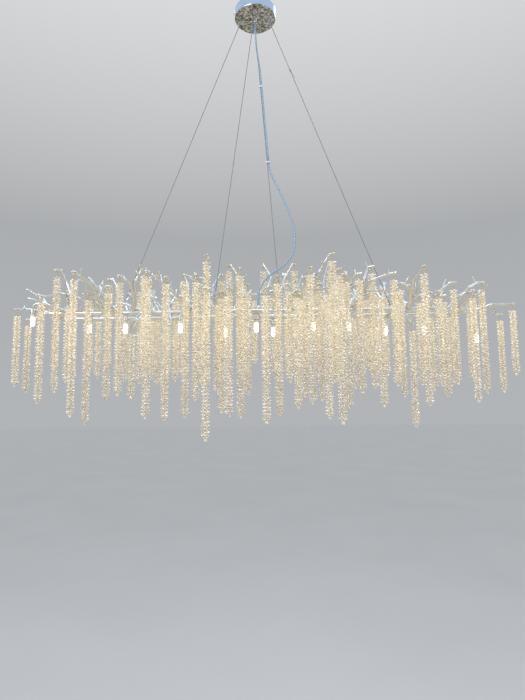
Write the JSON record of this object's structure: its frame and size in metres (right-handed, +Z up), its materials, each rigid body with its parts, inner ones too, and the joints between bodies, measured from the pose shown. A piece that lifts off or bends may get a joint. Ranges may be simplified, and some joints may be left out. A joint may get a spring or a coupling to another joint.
{
  "type": "crystal chandelier",
  "caption": "Linear branch chandelier: round canopy, four suspension wires, a tube frame with silver twigs, capsule lamps and hanging crystal strands.",
  "frame": {"origin": "middle of the canopy's face on the ceiling", "axes": "+Z up into the ceiling, +X along the frame, +Y towards the rear rail"},
  "size_m": [1.487, 0.434, 1.3544],
  "materials": {
    "zinc_steel": "zinc plated",
    "canopy_chrome": "polished side, hammered underside",
    "terminal_plastic": "moulded",
    "grip_metal": "polished",
    "wire_steel": "stranded steel",
    "clear_plastic": "translucent",
    "cable_sheath": "silvery clear sheath",
    "frame_silver": "silver leaf",
    "holder_silver": "satin silver",
    "bulb_glass": "lit warm white capsule",
    "twig_silver": "silver leaf over cast twigs",
    "crystal": "cut and polished"
  },
  "bodies": {
    "canopy": {"mounting_bracket": "zinc_steel", "canopy_cup": "canopy_chrome", "canopy_screws": "canopy_chrome", "terminal_block": "terminal_plastic", "canopy_cord_grip": "grip_metal", "wire_holders": "grip_metal"},
    "left_wire": {"wire_left": "wire_steel"},
    "front_wire": {"wire_front": "wire_steel"},
    "right_wire": {"wire_right": "wire_steel"},
    "rear_wire": {"wire_rear": "wire_steel", "cable_ties": "clear_plastic", "power_cable_upper": "cable_sheath", "power_cable_lower": "cable_sheath"},
    "frame": {"wire_anchors": "frame_silver", "front_rail": "frame_silver", "rear_rail": "frame_silver", "cross_bars": "frame_silver", "frame_cord_grip": "frame_silver", "lamp_arms": "frame_silver", "lamp_holders": "holder_silver", "front_left_branches": "twig_silver", "front_middle_branches": "twig_silver", "front_right_branches": "twig_silver", "rear_left_branches": "twig_silver", "rear_middle_branches": "twig_silver", "rear_right_branches": "twig_silver"},
    "bulb_01": {"bulb_01": "bulb_glass"},
    "bulb_02": {"bulb_02": "bulb_glass"},
    "bulb_03": {"bulb_03": "bulb_glass"},
    "bulb_04": {"bulb_04": "bulb_glass"},
    "bulb_05": {"bulb_05": "bulb_glass"},
    "bulb_06": {"bulb_06": "bulb_glass"},
    "bulb_07": {"bulb_07": "bulb_glass"},
    "bulb_08": {"bulb_08": "bulb_glass"},
    "bulb_09": {"bulb_09": "bulb_glass"},
    "bulb_10": {"bulb_10": "bulb_glass"},
    "bulb_11": {"bulb_11": "bulb_glass"},
    "bulb_12": {"bulb_12": "bulb_glass"},
    "front_1_strands": {"front_1_strands": "crystal"},
    "front_2_strands": {"front_2_strands": "crystal"},
    "front_3_strands": {"front_3_strands": "crystal"},
    "front_4_strands": {"front_4_strands": "crystal"},
    "front_5_strands": {"front_5_strands": "crystal"},
    "front_6_strands": {"front_6_strands": "crystal"},
    "front_7_strands": {"front_7_strands": "crystal"},
    "front_8_strands": {"front_8_strands": "crystal"},
    "front_9_strands": {"front_9_strands": "crystal"},
    "front_10_strands": {"front_10_strands": "crystal"},
    "front_11_strands": {"front_11_strands": "crystal"},
    "front_12_strands": {"front_12_strands": "crystal"},
    "middle_1_strands": {"middle_1_strands": "crystal"},
    "middle_2_strands": {"middle_2_strands": "crystal"},
    "rear_1_strands": {"rear_1_strands": "crystal"},
    "rear_2_strands": {"rear_2_strands": "crystal"},
    "rear_3_strands": {"rear_3_strands": "crystal"},
    "rear_4_strands": {"rear_4_strands": "crystal"},
    "rear_5_strands": {"rear_5_strands": "crystal"},
    "rear_6_strands": {"rear_6_strands": "crystal"},
    "rear_7_strands": {"rear_7_strands": "crystal"},
    "rear_8_strands": {"rear_8_strands": "crystal"}
  },
  "joints": [
    {"name": "sway", "type": "hinge", "parent": "canopy", "child": "rear_wire", "pos_m": [0, 0.045, -0.036], "axis": [1, 0, 0], "range_deg": [-6, 6], "deforming": ["power_cable_upper"]},
    {"name": "sway_front_wire", "type": "hinge", "parent": "canopy", "child": "front_wire", "pos_m": [0, -0.045, -0.036], "axis": [1, 0, 0], "range_deg": [-6, 6]},
    {"name": "sway_left_wire", "type": "hinge", "parent": "canopy", "child": "left_wire", "pos_m": [-0.045, 0, -0.036], "axis": [1, 0, 0], "range_deg": [-6, 6]},
    {"name": "sway_right_wire", "type": "hinge", "parent": "canopy", "child": "right_wire", "pos_m": [0.045, 0, -0.036], "axis": [1, 0, 0], "range_deg": [-6, 6]},
    {"name": "frame_level", "type": "hinge", "parent": "rear_wire", "child": "frame", "pos_m": [0.07, 0.045, -0.975], "axis": [1, 0, 0], "range_deg": [-6, 6], "deforming": ["power_cable_lower"]},
    {"name": "bulb_01_pull", "type": "slide", "parent": "frame", "child": "bulb_01", "axis": [0, 0, -1], "range_m": [0, 0.016]},
    {"name": "bulb_02_pull", "type": "slide", "parent": "frame", "child": "bulb_02", "axis": [0, 0, -1], "range_m": [0, 0.016]},
    {"name": "bulb_03_pull", "type": "slide", "parent": "frame", "child": "bulb_03", "axis": [0, 0, -1], "range_m": [0, 0.016]},
    {"name": "bulb_04_pull", "type": "slide", "parent": "frame", "child": "bulb_04", "axis": [0, 0, -1], "range_m": [0, 0.016]},
    {"name": "bulb_05_pull", "type": "slide", "parent": "frame", "child": "bulb_05", "axis": [0, 0, -1], "range_m": [0, 0.016]},
    {"name": "bulb_06_pull", "type": "slide", "parent": "frame", "child": "bulb_06", "axis": [0, 0, -1], "range_m": [0, 0.016]},
    {"name": "bulb_07_pull", "type": "slide", "parent": "frame", "child": "bulb_07", "axis": [0, 0, -1], "range_m": [0, 0.016]},
    {"name": "bulb_08_pull", "type": "slide", "parent": "frame", "child": "bulb_08", "axis": [0, 0, -1], "range_m": [0, 0.016]},
    {"name": "bulb_09_pull", "type": "slide", "parent": "frame", "child": "bulb_09", "axis": [0, 0, -1], "range_m": [0, 0.016]},
    {"name": "bulb_10_pull", "type": "slide", "parent": "frame", "child": "bulb_10", "axis": [0, 0, -1], "range_m": [0, 0.016]},
    {"name": "bulb_11_pull", "type": "slide", "parent": "frame", "child": "bulb_11", "axis": [0, 0, -1], "range_m": [0, 0.016]},
    {"name": "bulb_12_pull", "type": "slide", "parent": "frame", "child": "bulb_12", "axis": [0, 0, -1], "range_m": [0, 0.016]},
    {"name": "front_1_swing", "type": "hinge", "parent": "frame", "child": "front_1_strands", "pos_m": [0, -0.205, -0.911], "axis": [1, 0, 0], "range_deg": [-4, 4]},
    {"name": "front_2_swing", "type": "hinge", "parent": "frame", "child": "front_2_strands", "pos_m": [0, -0.205, -0.959], "axis": [1, 0, 0], "range_deg": [-4, 4]},
    {"name": "front_3_swing", "type": "hinge", "parent": "frame", "child": "front_3_strands", "pos_m": [0, -0.162, -0.894], "axis": [1, 0, 0], "range_deg": [-4, 4]},
    {"name": "front_4_swing", "type": "hinge", "parent": "frame", "child": "front_4_strands", "pos_m": [0, -0.162, -0.916], "axis": [1, 0, 0], "range_deg": [-4, 4]},
    {"name": "front_5_swing", "type": "hinge", "parent": "frame", "child": "front_5_strands", "pos_m": [0, -0.162, -0.957], "axis": [1, 0, 0], "range_deg": [-4, 4]},
    {"name": "front_6_swing", "type": "hinge", "parent": "frame", "child": "front_6_strands", "pos_m": [0, -0.12, -0.843], "axis": [1, 0, 0], "range_deg": [-4, 4]},
    {"name": "front_7_swing", "type": "hinge", "parent": "frame", "child": "front_7_strands", "pos_m": [0, -0.12, -0.9], "axis": [1, 0, 0], "range_deg": [-4, 4]},
    {"name": "front_8_swing", "type": "hinge", "parent": "frame", "child": "front_8_strands", "pos_m": [0, -0.12, -0.954], "axis": [1, 0, 0], "range_deg": [-4, 4]},
    {"name": "front_9_swing", "type": "hinge", "parent": "frame", "child": "front_9_strands", "pos_m": [0, -0.085, -1.038], "axis": [1, 0, 0], "range_deg": [-4, 4]},
    {"name": "front_10_swing", "type": "hinge", "parent": "frame", "child": "front_10_strands", "pos_m": [0, -0.078, -0.869], "axis": [1, 0, 0], "range_deg": [-4, 4]},
    {"name": "front_11_swing", "type": "hinge", "parent": "frame", "child": "front_11_strands", "pos_m": [0, -0.078, -0.919], "axis": [1, 0, 0], "range_deg": [-4, 4]},
    {"name": "front_12_swing", "type": "hinge", "parent": "frame", "child": "front_12_strands", "pos_m": [0, -0.078, -0.956], "axis": [1, 0, 0], "range_deg": [-4, 4]},
    {"name": "middle_1_swing", "type": "hinge", "parent": "frame", "child": "middle_1_strands", "pos_m": [0, -0.022, -0.971], "axis": [1, 0, 0], "range_deg": [-4, 4]},
    {"name": "middle_2_swing", "type": "hinge", "parent": "frame", "child": "middle_2_strands", "pos_m": [0, 0.022, -0.994], "axis": [1, 0, 0], "range_deg": [-4, 4]},
    {"name": "rear_1_swing", "type": "hinge", "parent": "frame", "child": "rear_1_strands", "pos_m": [0, 0.078, -0.857], "axis": [1, 0, 0], "range_deg": [-4, 4]},
    {"name": "rear_2_swing", "type": "hinge", "parent": "frame", "child": "rear_2_strands", "pos_m": [0, 0.078, -0.912], "axis": [1, 0, 0], "range_deg": [-4, 4]},
    {"name": "rear_3_swing", "type": "hinge", "parent": "frame", "child": "rear_3_strands", "pos_m": [0, 0.12, -0.805], "axis": [1, 0, 0], "range_deg": [-4, 4]},
    {"name": "rear_4_swing", "type": "hinge", "parent": "frame", "child": "rear_4_strands", "pos_m": [0, 0.12, -0.87], "axis": [1, 0, 0], "range_deg": [-4, 4]},
    {"name": "rear_5_swing", "type": "hinge", "parent": "frame", "child": "rear_5_strands", "pos_m": [0, 0.12, -0.958], "axis": [1, 0, 0], "range_deg": [-4, 4]},
    {"name": "rear_6_swing", "type": "hinge", "parent": "frame", "child": "rear_6_strands", "pos_m": [0, 0.162, -0.826], "axis": [1, 0, 0], "range_deg": [-4, 4]},
    {"name": "rear_7_swing", "type": "hinge", "parent": "frame", "child": "rear_7_strands", "pos_m": [0, 0.162, -0.897], "axis": [1, 0, 0], "range_deg": [-4, 4]},
    {"name": "rear_8_swing", "type": "hinge", "parent": "frame", "child": "rear_8_strands", "pos_m": [0, 0.205, -0.867], "axis": [1, 0, 0], "range_deg": [-4, 4]}
  ],
  "couplings": [
    {"joint": "sway_front_wire", "follows": "sway", "ratio": 1},
    {"joint": "sway_left_wire", "follows": "sway", "ratio": 1},
    {"joint": "sway_right_wire", "follows": "sway", "ratio": 1},
    {"joint": "frame_level", "follows": "sway", "ratio": -1}
  ]
}
